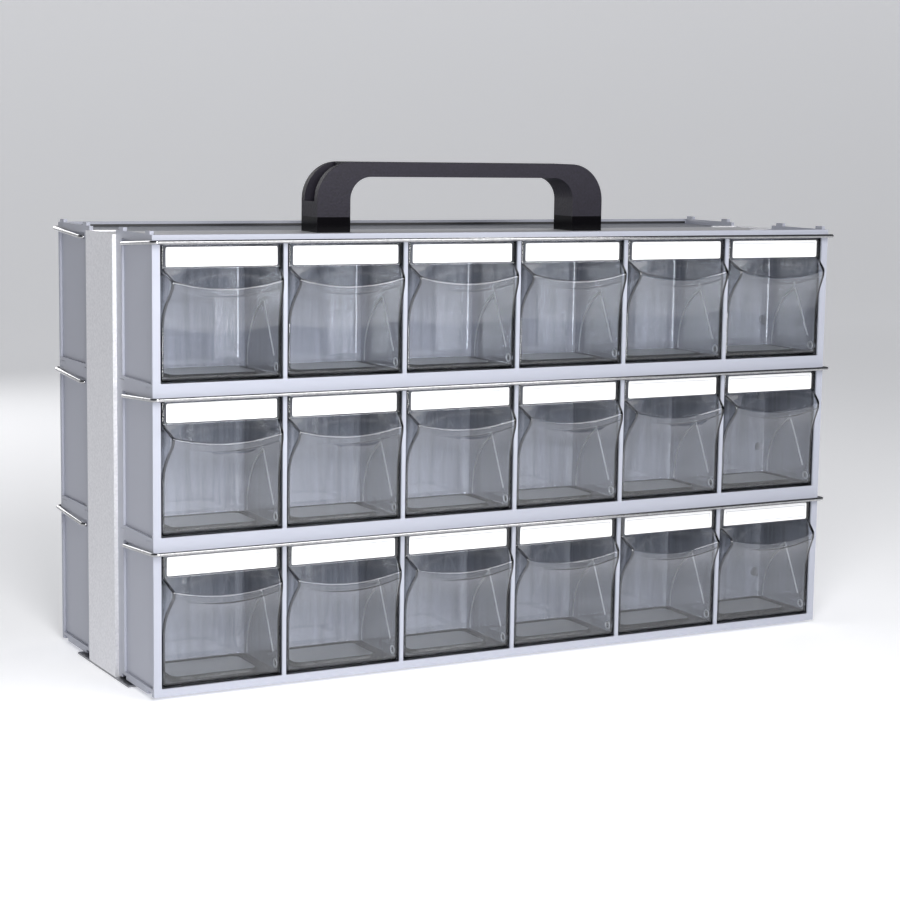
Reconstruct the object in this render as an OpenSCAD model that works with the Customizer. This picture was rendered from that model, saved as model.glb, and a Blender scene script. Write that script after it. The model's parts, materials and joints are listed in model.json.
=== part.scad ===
// Portable double-sided rack of clear tilt bins.
// Three housings face the front and three face the rear, back to back on an aluminium frame with a
// carrying handle. Each housing holds one row of hinged bins behind a wire retaining bail.
// Millimetres. +X runs along the rows, the front rows face -Y and +Z is up. The origin is the
// middle of the footprint, on the surface that the foot plates stand on.

/* [Housings] */
// Width of one housing
housing_w = 600; // [480:1:760]
// Height of one housing, which is also the pitch of the rows
housing_h = 112; // [106:0.5:130]
// Depth of one housing from its front face to its back
housing_d = 75; // [71:0.5:95]
// Width of the front frame at the two ends
side_border = 6; // [5:0.1:9]
// Thickness of the partitions between the bins
divider_t = 3.1; // [2.8:0.1:5]
// Height of the front frame under the bins
bottom_border = 5.7; // [4.6:0.1:7]
// Height of the front frame over the bins
top_border = 6.5; // [6:0.1:9]
// Thickness of the front frame from front to back
front_t = 3; // [2:0.1:3.6]
// Thickness of the floor panel
floor_t = 3; // [2:0.1:3.8]
// Thickness of the roof panel
roof_t = 1.8; // [1.2:0.1:2.2]
// Depth of the roof panel below the top edge of the front frame
roof_drop = 4; // [3.5:0.1:4.2]
// Thickness of the rims at the two ends of the roof
roof_rim_t = 3; // [2:0.1:4.5]
// Thickness of the back panel
back_t = 2.5; // [2:0.1:4]
// Corner radius of the bin openings
opening_r = 1; // [0.5:0.1:1.2]
// Depth of the moulded recess in each end
recess_depth = 1.8; // [0.8:0.1:2.2]
// Width of the border behind the recess in each end
recess_rear = 12; // [8:0.5:13]
// Height of the border under and over the recess in each end
recess_edge = 5.5; // [4.5:0.1:7]
// Length of a stacking lug
lug_len = 9; // [5:0.5:12]
// Height of a stacking lug
lug_h = 2.5; // [1.5:0.1:3]
// Distance from the front face to the middle of the front stacking lug
lug_front = 9; // [7:0.5:16]
// Distance from the back to the middle of the rear stacking lug
lug_rear = 11; // [8:0.5:16]
// Height of the retaining nub over each bin
nub_h = 0.4; // [0.2:0.05:0.6]
// Width of the retaining nub over each bin
nub_w = 6; // [3:0.5:12]

/* [Bins] */
// Gap between a bin and each partition
bin_side_gap = 0.7; // [0.5:0.05:1.2]
// Gap between a bin and the front frame under it
bin_under_gap = 0.5; // [0.4:0.05:1]
// Gap between a bin and the front frame over it
bin_over_gap = 1; // [0.8:0.05:2]
// Gap between a bin and the back panel
bin_rear_gap = 3.5; // [3:0.1:6]
// Set-back of a bin's front from the front face of the housing
bin_inset = 1; // [0.6:0.1:2]
// Wall thickness of a bin
bin_wall = 1.8; // [1.2:0.1:2.4]
// Distance of the hinge axis behind the front face
hinge_back = 8; // [7:0.1:10]
// Height of the hinge axis over the underside of the housing
hinge_up = 14; // [13:0.1:16]
// Radius of a hinge pin
hinge_r = 2.5; // [1.5:0.1:3]
// How far a hinge pin reaches into the partition
hinge_reach = 1.3; // [0.8:0.05:1.35]
// Height of the label panel
label_panel_h = 16.5; // [12:0.5:22]
// Width of the label card
label_w = 86; // [60:0.5:88]
// Height of the label card
label_h = 14; // [8:0.5:14.5]
// Thickness of the label card
label_t = 0.4; // [0.2:0.05:0.6]
// Reach of the finger lip in front of the housing
lip_out = 12; // [6:0.5:16]
// Height of the rim along the finger lip
lip_rim = 5.5; // [3.5:0.1:7]
// How far the foot of that rim lies behind the tip of the lip
rim_lean = 0.8; // [0.4:0.1:2]
// Drop from the label panel to the ends of the finger lip
lip_drop = 8.5; // [5:0.5:12]
// Sag of the finger lip between its ends
lip_sag = 6; // [3:0.5:8]
// Narrowing of the finger lip at each end
lip_inset = 3.5; // [2:0.1:8]
// Height of the flared part of the front wall
flare_h = 33; // [28:0.5:45]

/* [Retaining bails] */
// Radius of the wire
wire_r = 1.5; // [1:0.1:1.8]
// Distance of the bail's pivot behind the front face
bail_back = 59.5; // [50:0.5:60]
// Depth of the bail's pivot below the top of the housing
bail_down = 9; // [8.5:0.1:10]
// Distance of the closed bail's wire centre in front of the housing
bail_front = 5.1; // [3:0.1:8]
// Angle of the closed bail below the horizontal
bail_closed = 12; // [8:0.5:16]
// Angle of the lifted bail over the horizontal, as modelled
bail_lifted = 3.5; // [3:0.1:5]
// Centre-line radius of the bends at the front corners
bail_corner_r = 4.5; // [3:0.5:8]
// Centre-line radius of the bends at the pivots
bail_pivot_r = 3; // [2:0.1:3.5]

/* [Frame] */
// Width of the frame between the front and the rear housings
frame_w = 60; // [50:1:90]
// Distance that the columns stand proud of the housings' ends
column_out = 3; // [2.8:0.1:5]
// Thickness of a column's web
column_t = 2.5; // [1.5:0.1:2.6]
// Thickness of a column's flanges
flange_t = 2; // [1.5:0.1:3]
// Depth of a column's flanges inside its web
flange_d = 25; // [20:1:35]
// Depth of the columns' tops below the top of the housings
column_drop = 3; // [1:0.5:8]
// Depth of the top rail's face below the columns' tops
rail_drop = 1; // [0.5:0.1:3]
// Height of a rail
rail_h = 25; // [20:1:28]
// Sheet thickness of a rail
rail_t = 2; // [1.5:0.1:3]
// Gap between the foot surface and the undersides of the housings
foot_gap = 3; // [2:0.1:8]
// Thickness of a foot plate
foot_t = 1.5; // [1:0.1:1.8]
// Length of a foot plate along the rows
foot_len = 50; // [40:1:80]
// Width of a foot plate from front to rear
foot_w = 116; // [100:1:150]

/* [Handle] */
// Overall length of the handle
handle_len = 261.5; // [180:0.5:320]
// Depth of the handle from front to rear
handle_d = 30; // [25:0.5:40]
// Height of the handle over the top rail
handle_h = 55; // [50:0.5:80]
// Width of a leg
leg_w = 28.5; // [24:0.5:36]
// Thickness of the grip
grip_t = 11.5; // [8:0.5:16]
// Outer corner radius
handle_outer_r = 30; // [20:0.5:34]
// Inner corner radius
handle_inner_r = 18; // [10:0.5:26]
// Width of the screw pocket in each shoulder
pocket_w = 18; // [14:0.5:22]
// Height of the screw pocket's floor over the top rail
pocket_floor = 24; // [16:0.5:30]
// Wall left between the screw pocket and the hand opening
pocket_wall = 3.5; // [2.5:0.1:5]

/* [Fasteners] */
// Radius of a handle screw
bolt_r = 3; // [2.5:0.1:4]
// Head radius of a handle screw
bolt_head_r = 5; // [4.5:0.1:6]
// Head height of a handle screw
bolt_head_h = 6; // [4:0.5:8]
// Thickness of a washer under the top rail
washer_t = 1.6; // [1:0.1:2.5]
// Height of a handle nut
nut_h = 5; // [4:0.5:7]
// Radius of a housing screw
screw_r = 2; // [1.5:0.1:2.5]
// Head radius of a housing screw
screw_head_r = 4; // [3.2:0.1:5]
// Head height of a housing screw
screw_head_h = 2; // [1.4:0.1:2.4]
// Height of the lower pair of screws in a housing
screw_low = 31; // [30:1:45]
// Height of the upper pair of screws in a housing
screw_high = 75; // [60:1:76]
// Radius of a rivet
rivet_r = 2; // [1.5:0.1:2.5]
// Head radius of a rivet
rivet_head_r = 4; // [3.2:0.1:5]
// Head height of a rivet
rivet_head_h = 1.5; // [1:0.1:2]

/* [Hidden] */
$fn = 48;
BIN_COUNT = 6;
ROWS = ["lower", "middle", "upper"];
SIDES = ["front", "rear"];
function row_node(kind, s, r) = str(kind, "_", SIDES[s], "_", ROWS[r]);
function bin_node(s, r, n) = str(row_node("bin", s, r), "_", n + 1);

cut = 1;            // how far a cutting body runs past the face it opens
loose = 0.3;        // running clearance of a pin or of moving faces that pass close by
snug = 0.1;         // radial clearance of a fixed screw or rivet in its hole
paper_gap = 0.2;    // clearance of the label card round its edges
apart = 0.1;        // gap that keeps loosely stacked pieces separate solids

// Front opening and cell of one bin
opening_w = (housing_w - 2 * side_border - (BIN_COUNT - 1) * divider_t) / BIN_COUNT;
bin_pitch = opening_w + divider_t;
opening_top = housing_h - top_border;
roof_z = housing_h - roof_drop;
ceiling_z = roof_z - roof_t;
cell_back = housing_d - back_t;
ledge_d = 5;
recess_y = [front_t, housing_d - recess_rear];
recess_z = [recess_edge, housing_h - recess_edge];
lug_y = [lug_front, housing_d - lug_rear];

// Outline of one bin, in the housing's own frame
bin_w = opening_w - 2 * bin_side_gap;
bin_bottom = bottom_border + bin_under_gap;
bin_top = opening_top - bin_over_gap;
bin_back = cell_back - bin_rear_gap;
// The lower front corner is round about the hinge, so that it turns past the frame's inner edge
nose_r = norm([hinge_back - front_t, hinge_up - bottom_border]) - 1.3 * loose;
// The rear top corner turns under the roof with the same kind of clearance
swing_r = ceiling_z - hinge_up - 1.7 * loose;
bin_rear_top = hinge_up + sqrt(pow(swing_r, 2) - pow(bin_back - hinge_back, 2));
label_z = bin_top - label_panel_h;
flare_z = label_z - flare_h;
card_z = bin_top - (label_panel_h + label_h) / 2;
card_seat = 1.5 * label_t;

// Retaining bail
bail_up = housing_h - bail_down;
bail_arm = (bail_back + bail_front) / cos(bail_closed);
bail_x = housing_w / 2 + loose + wire_r;
bail_pin_end = housing_w / 2 - side_border + 4 * snug;

// Frame
stack_top = foot_gap + len(ROWS) * housing_h;
column_x = housing_w / 2 + column_out;
web_x = column_x - column_t;
column_top = stack_top - column_drop;
rail_top = column_top - rail_drop;
rail_w = frame_w - 2 * flange_t;
flange_x = web_x - flange_d / 2;
rivet_z = [foot_t + rail_h / 2, rail_top - rail_h / 2];
foot_rivet_x = column_x - foot_len * 0.6;
foot_rivet_y = rail_w / 4;

// Handle, from the middle of one leg's pocket
leg_x = handle_len / 2 - leg_w;
pocket_x = leg_x + pocket_wall;
bolt_x = (pocket_x + handle_len / 2) / 2;
bolt_end = rail_top - rail_t - washer_t - apart - nut_h - 2;

// Extrudes a [y, z] outline along X over a width centred on x = 0
module slab(width) {
    translate([-width / 2, 0, 0]) rotate([90, 0, 90]) linear_extrude(width) children();
}

// Cylinder along X or Y from one coordinate to another
module rod_x(r, from, to) {
    translate([from, 0, 0]) rotate([0, 90, 0]) cylinder(r = r, h = to - from);
}

module rod_y(r, from, to) {
    translate([0, from, 0]) rotate([-90, 0, 0]) cylinder(r = r, h = to - from);
}

// Places a housing's own frame, whose y = 0 is the front face, at its side and level
module at_row(s, r) {
    rotate([0, 0, 180 * s])
        translate([0, -frame_w / 2 - housing_d, foot_gap + r * housing_h]) children();
}

module both_ends() {
    children();
    mirror([1, 0, 0]) children();
}

module both_sides() {
    children();
    mirror([0, 1, 0]) children();
}

function cell_x(n) = (n - (BIN_COUNT - 1) / 2) * bin_pitch;

// ---- Housing ----

module cell() {
    slab(opening_w) polygon([
        [front_t, floor_t],
        [cell_back - ledge_d, floor_t],
        [cell_back - ledge_d, bin_bottom - loose],
        [cell_back, bin_bottom - loose],
        [cell_back, ceiling_z],
        [front_t, ceiling_z]
    ]);
}

module rounded_opening() {
    w = opening_w / 2 - opening_r;
    h = (opening_top - bottom_border) / 2 - opening_r;
    translate([0, front_t + cut / 2, (opening_top + bottom_border) / 2]) rotate([90, 0, 0])
        linear_extrude(front_t + cut) union() {
            square([2 * w, 2 * (h + opening_r)], center = true);
            square([2 * (w + opening_r), 2 * h], center = true);
            for (x = [-w, w], y = [-h, h]) translate([x, y]) circle(r = opening_r);
        }
}

module lug(length, height, depth, z) {
    for (y = lug_y)
        both_ends() translate([housing_w / 2 - depth, y - length / 2, z])
            cube([depth, length, height]);
}

module screw_places() {
    for (z = [screw_low, screw_high]) both_ends() translate([flange_x, 0, z]) children();
}

module housing() {
    color("#aeb2c0") difference() {
        union() {
            difference() {
                translate([-housing_w / 2, 0, 0]) cube([housing_w, housing_d, housing_h]);
                translate([roof_rim_t - housing_w / 2, front_t, roof_z])
                    cube([housing_w - 2 * roof_rim_t, housing_d, roof_drop + cut]);
                for (n = [0:BIN_COUNT - 1]) translate([cell_x(n), 0, 0]) {
                    cell();
                    rounded_opening();
                }
            }
            lug(lug_len, lug_h + loose, roof_rim_t, housing_h - loose);
            for (n = [0:BIN_COUNT - 1])
                translate([cell_x(n) + opening_w / 5 - nub_w / 2, 0, opening_top - nub_h])
                    cube([nub_w, front_t, nub_h + loose]);
        }
        both_ends() translate([housing_w / 2 - recess_depth, recess_y[0], recess_z[0]])
            cube([recess_depth + cut, recess_y[1] - recess_y[0], recess_z[1] - recess_z[0]]);
        lug(lug_len + 2 * loose, lug_h + loose + cut, roof_rim_t + loose + cut, -cut);
        translate([0, hinge_back, hinge_up]) rod_x(hinge_r + loose,
            -housing_w / 2 + side_border - hinge_reach - loose,
            housing_w / 2 - side_border + hinge_reach + loose);
        translate([0, bail_back, bail_up]) both_ends()
            rod_x(wire_r + loose, bail_pin_end - cut, housing_w / 2 + cut);
        screw_places() rod_y(screw_r + 2 * snug, cell_back - cut, housing_d + cut);
    }
}

// ---- Bin ----

function unit(v) = v / norm(v);
function inward(p, q) = let (d = unit(q - p)) [-d[1], d[0]];
// Corner q of a counter-clockwise outline, moved inside both of its edges by t
function inset_corner(p, q, r, t) =
    let (a = inward(p, q), b = inward(q, r)) q + t * (a + b) / (1 + a * b);

LIP_STEPS = 6;
function lip_z(t) = label_z - lip_drop - lip_sag * (1 - t * t);
// Side view of the flared front at position t, -1 to 1 along the lip, as [y, z] corners
function flare_section(t) = [
    [bin_inset, flare_z], [bin_inset, label_z],
    [-lip_out, lip_z(t)], [rim_lean - lip_out, lip_z(t) - lip_rim]
];
function hollow_section(t) =
    let (
        o = flare_section(t),
        c = [for (i = [0:3]) inset_corner(o[(i + 3) % 4], o[i], o[(i + 1) % 4], bin_wall)],
        back = bin_inset + bin_wall + cut
    )
    [[back, c[0][1]], [back, c[1][1]], c[1], c[2], c[3], c[0]];

// Places section corners in space: those in front of the wall narrow towards the lip
function spread(section, t, half, front_half) = [
    for (p = section)
        let (k = min(max((bin_inset - p[0]) / (bin_inset + lip_out), 0), 1))
        [t * (half + (front_half - half) * k), p[0], p[1]]
];

module loft(sections) {
    n = len(sections[0]);
    m = len(sections);
    polyhedron(
        points = [for (s = sections, p = s) p],
        faces = concat(
            [[for (i = [0:n - 1]) i], [for (i = [n - 1:-1:0]) (m - 1) * n + i]],
            [for (j = [0:m - 2], i = [0:n - 1], k = [0:1])
                let (a = j * n + i, b = j * n + (i + 1) % n)
                k == 0 ? [a, a + n, b] : [b, a + n, b + n]]
        )
    );
}

function lip_stations() = [for (i = [0:LIP_STEPS]) 2 * i / LIP_STEPS - 1];

module flare() {
    loft([for (t = lip_stations())
        spread(flare_section(t), t, bin_w / 2, opening_w / 2 - bin_side_gap - lip_inset)]);
}

module flare_hollow() {
    half = bin_w / 2 - bin_wall;
    loft([for (t = lip_stations()) spread(hollow_section(t), t, half, half - lip_inset)]);
}

module tub() {
    slab(bin_w) polygon([
        [bin_inset, bin_bottom],
        [bin_back, bin_bottom],
        [bin_back, bin_rear_top],
        [bin_inset + bin_wall, bin_top],
        [bin_inset, bin_top]
    ]);
}

module tub_hollow() {
    slab(bin_w - 2 * bin_wall) polygon([
        [bin_inset + bin_wall, bin_bottom + bin_wall],
        [bin_back - bin_wall, bin_bottom + bin_wall],
        [bin_back - bin_wall, bin_top + cut],
        [bin_inset + bin_wall, bin_top + cut]
    ]);
}

// What the round nose leaves of the square lower front corner
module nose_waste() {
    difference() {
        translate([-bin_w / 2 - cut, hinge_back - nose_r - cut, hinge_up - nose_r - cut])
            cube([bin_w + 2 * cut, nose_r + cut, nose_r + cut]);
        translate([0, hinge_back, hinge_up])
            rod_x(nose_r, -bin_w / 2 - 2 * cut, bin_w / 2 + 2 * cut);
    }
}

module label_card() {
    translate([-label_w / 2, bin_inset + card_seat - apart - label_t, card_z])
        cube([label_w, label_t, label_h]);
}

module tilt_bin() {
    color("#c9d3da", 0.45) {
        difference() {
            union() {
                tub();
                flare();
            }
            tub_hollow();
            flare_hollow();
            nose_waste();
            translate([-label_w / 2 - paper_gap, bin_inset - cut, card_z - paper_gap])
                cube([label_w + 2 * paper_gap, card_seat + cut, label_h + 2 * paper_gap]);
        }
        both_ends() translate([0, hinge_back, hinge_up])
            rod_x(hinge_r, bin_w / 2, opening_w / 2 + hinge_reach);
    }
    color("#fbfbfb") label_card();
}

// ---- Retaining bail ----

module wire_bend(r, turn) {
    rotate([0, 0, turn]) rotate_extrude(angle = 90) translate([r, 0]) circle(r = wire_r);
}

module retaining_bail() {
    span = bail_x - bail_corner_r;
    color("#c8c8ca") translate([0, bail_back, bail_up]) rotate([-bail_lifted, 0, 0]) {
        translate([0, -bail_arm, 0]) rod_x(wire_r, -span, span);
        both_ends() {
            translate([span, bail_corner_r - bail_arm, 0]) wire_bend(bail_corner_r, -90);
            translate([bail_x, 0, 0]) rod_y(wire_r, bail_corner_r - bail_arm, -bail_pivot_r);
            translate([bail_x - bail_pivot_r, -bail_pivot_r, 0]) wire_bend(bail_pivot_r, 0);
            rod_x(wire_r, bail_pin_end, bail_x - bail_pivot_r);
        }
    }
}

// ---- Frame ----

module rail_rivet_places() {
    for (z = rivet_z) both_ends() both_sides() translate([flange_x, 0, z]) children();
}

module foot_rivet_places() {
    both_ends() both_sides() translate([foot_rivet_x, foot_rivet_y, 0]) children();
}

module column() {
    color("#bdbec2") difference() {
        translate([web_x - flange_d, -frame_w / 2, foot_t])
            cube([flange_d + column_t, frame_w, column_top - foot_t]);
        translate([web_x - flange_d - cut, flange_t - frame_w / 2, foot_t - cut])
            cube([flange_d + cut, rail_w, column_top - foot_t + 2 * cut]);
        for (s = [0, 1], r = [0:len(ROWS) - 1]) at_row(s, r)
            screw_places() rod_y(screw_r + snug, housing_d - cut, housing_d + flange_t + cut);
        rail_rivet_places() rod_y(rivet_r + snug, rail_w / 2 - cut, frame_w / 2 + cut);
    }
}

module frame_column_right() {
    column();
}

module frame_column_left() {
    mirror([1, 0, 0]) column();
}

// Channel with its web at z = 0 and its flanges standing up
module rail() {
    length = 2 * (web_x - loose);
    difference() {
        translate([-length / 2, -rail_w / 2, 0]) cube([length, rail_w, rail_h]);
        translate([-length / 2 - cut, rail_t - rail_w / 2, rail_t])
            cube([length + 2 * cut, rail_w - 2 * rail_t, rail_h]);
    }
}

module frame_bottom_rail() {
    color("#b4b5ba") difference() {
        translate([0, 0, foot_t]) rail();
        rail_rivet_places() rod_y(rivet_r + snug, rail_w / 2 - rail_t - cut, rail_w / 2 + cut);
        foot_rivet_places() cylinder(r = rivet_r + snug, h = foot_t + rail_t + cut);
    }
}

module frame_top_rail() {
    color("#b4b5ba") difference() {
        translate([0, 0, rail_top]) mirror([0, 0, 1]) rail();
        rail_rivet_places() rod_y(rivet_r + snug, rail_w / 2 - rail_t - cut, rail_w / 2 + cut);
        both_ends() translate([bolt_x, 0, rail_top - rail_t - cut])
            cylinder(r = bolt_r + 2 * snug, h = rail_t + 2 * cut);
    }
}

module foot_plate() {
    color("#a9aaae") difference() {
        translate([column_x - foot_len, -foot_w / 2, 0]) cube([foot_len, foot_w, foot_t]);
        foot_rivet_places() translate([0, 0, -cut])
            cylinder(r = rivet_r + snug, h = foot_t + 2 * cut);
    }
}

module foot_plate_right() {
    foot_plate();
}

module foot_plate_left() {
    mirror([1, 0, 0]) foot_plate();
}

module frame_rivets() {
    color("#8f9094") {
        rail_rivet_places() {
            rod_y(rivet_r, rail_w / 2 - rail_t, frame_w / 2 - snug);
            rod_y(rivet_head_r, rail_w / 2 - rail_t - rivet_head_h, rail_w / 2 - rail_t);
        }
        foot_rivet_places() {
            translate([0, 0, 2 * snug]) cylinder(r = rivet_r, h = foot_t + rail_t - 2 * snug);
            translate([0, 0, foot_t + rail_t]) cylinder(r = rivet_head_r, h = rivet_head_h);
        }
    }
}

module housing_screws() {
    color("#77787c")
        for (s = [0, 1], r = [0:len(ROWS) - 1]) at_row(s, r) screw_places() {
            rod_y(screw_head_r, cell_back - screw_head_h, cell_back);
            rod_y(screw_r, cell_back, housing_d + flange_t + 1.5 * screw_r);
        }
}

// ---- Handle ----

module handle_outline() {
    half = handle_len / 2;
    hand_h = handle_h - grip_t;
    difference() {
        union() {
            translate([-half, 0]) square([2 * half, handle_h - handle_outer_r]);
            translate([handle_outer_r - half, 0]) square([2 * (half - handle_outer_r), handle_h]);
            for (x = [-1, 1]) translate([x * (half - handle_outer_r), handle_h - handle_outer_r])
                circle(r = handle_outer_r, $fn = 96);
        }
        translate([-leg_x, -cut]) square([2 * leg_x, hand_h - handle_inner_r + cut]);
        translate([handle_inner_r - leg_x, -cut])
            square([2 * (leg_x - handle_inner_r), hand_h + cut]);
        for (x = [-1, 1]) translate([x * (leg_x - handle_inner_r), hand_h - handle_inner_r])
            circle(r = handle_inner_r, $fn = 96);
        translate([-half - cut, -handle_h]) square([2 * (half + cut), handle_h]);
    }
}

module handle() {
    color("#2b2930") translate([0, 0, rail_top]) difference() {
        translate([0, handle_d / 2, 0]) rotate([90, 0, 0]) linear_extrude(handle_d)
            handle_outline();
        both_ends() {
            translate([pocket_x, -pocket_w / 2, pocket_floor])
                cube([leg_w, pocket_w, handle_h]);
            translate([bolt_x, 0, -cut])
                cylinder(r = bolt_r + 2 * snug, h = pocket_floor + 2 * cut);
        }
    }
}

module handle_screws() {
    seat = rail_top + pocket_floor;
    color("#3a3a3d") both_ends() translate([bolt_x, 0, 0]) difference() {
        union() {
            translate([0, 0, bolt_end]) cylinder(r = bolt_r, h = seat - bolt_end);
            translate([0, 0, seat]) cylinder(r = bolt_head_r, h = bolt_head_h);
        }
        translate([0, 0, seat + bolt_head_h / 2])
            cylinder(r = bolt_head_r * 0.58, h = bolt_head_h, $fn = 6);
    }
}

module handle_nuts() {
    color("#9a9b9e") both_ends() translate([bolt_x, 0, rail_top - rail_t]) {
        translate([0, 0, -washer_t]) difference() {
            cylinder(r = 2 * bolt_r, h = washer_t);
            translate([0, 0, -cut]) cylinder(r = bolt_r + 2 * snug, h = washer_t + 2 * cut);
        }
        translate([0, 0, -washer_t - apart - nut_h]) difference() {
            cylinder(r = 1.9 * bolt_r, h = nut_h, $fn = 6);
            translate([0, 0, -cut]) cylinder(r = bolt_r + snug, h = nut_h + 2 * cut);
        }
    }
}

frame_column_left();
frame_column_right();
frame_top_rail();
frame_bottom_rail();
foot_plate_left();
foot_plate_right();
frame_rivets();
housing_screws();
handle();
handle_screws();
handle_nuts();
for (s = [0:1], r = [0:2]) {
    at_row(s, r) housing();
    at_row(s, r) retaining_bail();
    for (n = [0:BIN_COUNT - 1])
        at_row(s, r) translate([cell_x(n), 0, 0]) tilt_bin();
}
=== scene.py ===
# %% [markdown]
# # A portable rack of clear tilt bins
# A fitter carries this rack from the van to the job. Six grey housings stand back to back
# on an aluminium frame, and each holds six clear bins that tilt out by their finger lips.
# A wire bail across each row keeps the bins shut on the road.
#
# The frame, the housings and everything that fits or moves come from the CAD model. This
# lesson gives them their finishes. It also builds the pieces whose looks need a mesh of
# their own: the bins with their flared lips, the label cards, the bails and the handle.

# %% Load the frame
import json
import math

import bmesh
import bpy
from mathutils import Matrix, Vector

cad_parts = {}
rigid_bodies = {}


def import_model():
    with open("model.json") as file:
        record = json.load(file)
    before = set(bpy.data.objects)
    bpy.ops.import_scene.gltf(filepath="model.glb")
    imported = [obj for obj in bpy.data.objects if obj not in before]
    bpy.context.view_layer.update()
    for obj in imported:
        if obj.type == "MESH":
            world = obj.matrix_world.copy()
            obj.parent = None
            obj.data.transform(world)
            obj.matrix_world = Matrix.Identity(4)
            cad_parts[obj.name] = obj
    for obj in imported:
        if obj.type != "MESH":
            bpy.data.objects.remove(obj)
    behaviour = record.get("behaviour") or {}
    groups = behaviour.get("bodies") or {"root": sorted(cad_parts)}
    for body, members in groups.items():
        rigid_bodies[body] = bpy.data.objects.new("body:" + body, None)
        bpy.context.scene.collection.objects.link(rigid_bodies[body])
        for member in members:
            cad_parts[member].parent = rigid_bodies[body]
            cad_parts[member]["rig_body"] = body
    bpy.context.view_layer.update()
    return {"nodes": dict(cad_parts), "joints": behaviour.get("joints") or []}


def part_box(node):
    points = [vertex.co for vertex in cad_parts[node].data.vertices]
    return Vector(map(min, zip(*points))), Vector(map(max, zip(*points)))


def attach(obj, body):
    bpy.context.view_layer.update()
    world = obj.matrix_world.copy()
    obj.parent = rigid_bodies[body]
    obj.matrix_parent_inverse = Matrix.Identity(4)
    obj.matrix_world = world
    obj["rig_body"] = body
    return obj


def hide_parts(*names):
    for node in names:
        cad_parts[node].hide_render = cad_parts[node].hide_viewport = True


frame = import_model()
JOINTS = {joint["name"]: joint for joint in frame["joints"]}
SIDES = ("front", "rear")
ROWS = ("lower", "middle", "upper")
MM = 0.001  # sizes below are in millimetres, and Blender's unit is the metre

# %% [markdown]
# ## The camera
# A product shot of a long, low object is taken from the front left with a long lens, so
# that the rows of bins stay straight and one end shows. The camera is written as a place
# and three turns. A small shift puts the lens axis right of the picture's middle, as in
# a picture that was cropped.

# %% Camera
PICTURE = 900  # pixels along each side of the picture
FOCAL = 2139  # focal length in the same pixels
LENS_AXIS = (500, 437)  # where the lens axis meets the picture, from its top left corner
STAND = Vector((-0.833, -1.543, 0.415))
AZIMUTH = math.radians(29.65)
DOWN = math.radians(8.10)
ROLL = math.radians(1.05)


def camera_turn(azimuth, down, roll):
    """The camera's axes as a matrix, for a view along azimuth from +Y, tipped down and rolled."""
    level = Vector((math.cos(azimuth), -math.sin(azimuth), 0))
    along = Vector((math.sin(azimuth), math.cos(azimuth), 0))
    ahead = along * math.cos(down) - Vector((0, 0, math.sin(down)))
    right = math.cos(roll) * level + math.sin(roll) * level.cross(ahead)
    return Matrix((right, right.cross(ahead), -ahead)).transposed()


camera_data = bpy.data.cameras.new("camera")
camera_data.sensor_width = 36
camera_data.lens = FOCAL * camera_data.sensor_width / PICTURE
camera_data.shift_x = (PICTURE / 2 - LENS_AXIS[0]) / PICTURE
camera_data.shift_y = (LENS_AXIS[1] - PICTURE / 2) / PICTURE
camera = bpy.data.objects.new("camera", camera_data)
camera.matrix_world = Matrix.Translation(STAND) @ camera_turn(AZIMUTH, DOWN, ROLL).to_4x4()
bpy.context.scene.collection.objects.link(camera)
bpy.context.scene.camera = camera
print("lens in mm:", round(camera_data.lens, 1))

# %% [markdown]
# ## Helpers for materials
# Colours are written as sRGB hex, as a paint chart gives them, and Blender's shaders work
# in linear light, so one function converts. Another adds a node to a material, with its
# settings and whatever feeds its sockets, so that a material reads from top to bottom.

# %% Material helpers


def linear(code):
    """An sRGB hex colour such as "#AEB2C0" as linear red, green, blue and alpha."""
    parts = [int(code[i : i + 2], 16) / 255 for i in (1, 3, 5)]
    return [((c + 0.055) / 1.055) ** 2.4 if c > 0.04045 else c / 12.92 for c in parts] + [1]


def add(material, kind, inputs, **settings):
    """Adds a node of a kind. inputs maps a socket to a value, or to the output that feeds it."""
    node = material.node_tree.nodes.new("ShaderNode" + kind)
    for name, value in settings.items():
        setattr(node, name, value)
    for socket, value in inputs.items():
        if isinstance(value, bpy.types.NodeSocket):
            material.node_tree.links.new(value, node.inputs[socket])
        else:
            node.inputs[socket].default_value = value
    return node


def start(name, surface):
    """A new material whose Principled shader has these values. Gives the material and the shader."""
    material = bpy.data.materials.new(name)
    material.use_nodes = True
    shader = material.node_tree.nodes["Principled BSDF"]
    for socket, value in surface.items():
        shader.inputs[socket].default_value = value
    return material, shader


def feed(material, output, socket):
    """Links an output to a socket."""
    material.node_tree.links.new(output, socket)


def compute(material, operation, first, second=0.0):
    """The result of one sum on numbers or outputs."""
    return add(material, "Math", {0: first, 1: second}, operation=operation).outputs[0]


def blend_colours(material, share, first, second):
    """The colour output of a mix from the first colour to the second, each a hex code or an output."""
    first, second = (linear(colour) if isinstance(colour, str) else colour for colour in (first, second))
    return add(material, "Mix", {0: share, 6: first, 7: second}, data_type="RGBA").outputs[2]


def between(material, output, near, far):
    """1 where an output lies between two values, and 0 elsewhere."""
    over = compute(material, "GREATER_THAN", output, near)
    under = compute(material, "LESS_THAN", output, far)
    return compute(material, "MULTIPLY", over, under)


def grain(material, millimetres, detail=2, stretch=(1, 1, 1)):
    """Noise whose lumps are about this wide. A stretch under 1 makes them longer along that axis."""
    place = add(material, "TexCoord", {}).outputs["Object"]
    size = add(material, "Mapping", {"Vector": place, "Scale": stretch}).outputs["Vector"]
    lumps = {"Vector": size, "Scale": 0.5 / (millimetres * MM), "Detail": detail}
    return add(material, "TexNoise", lumps).outputs["Fac"]


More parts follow.
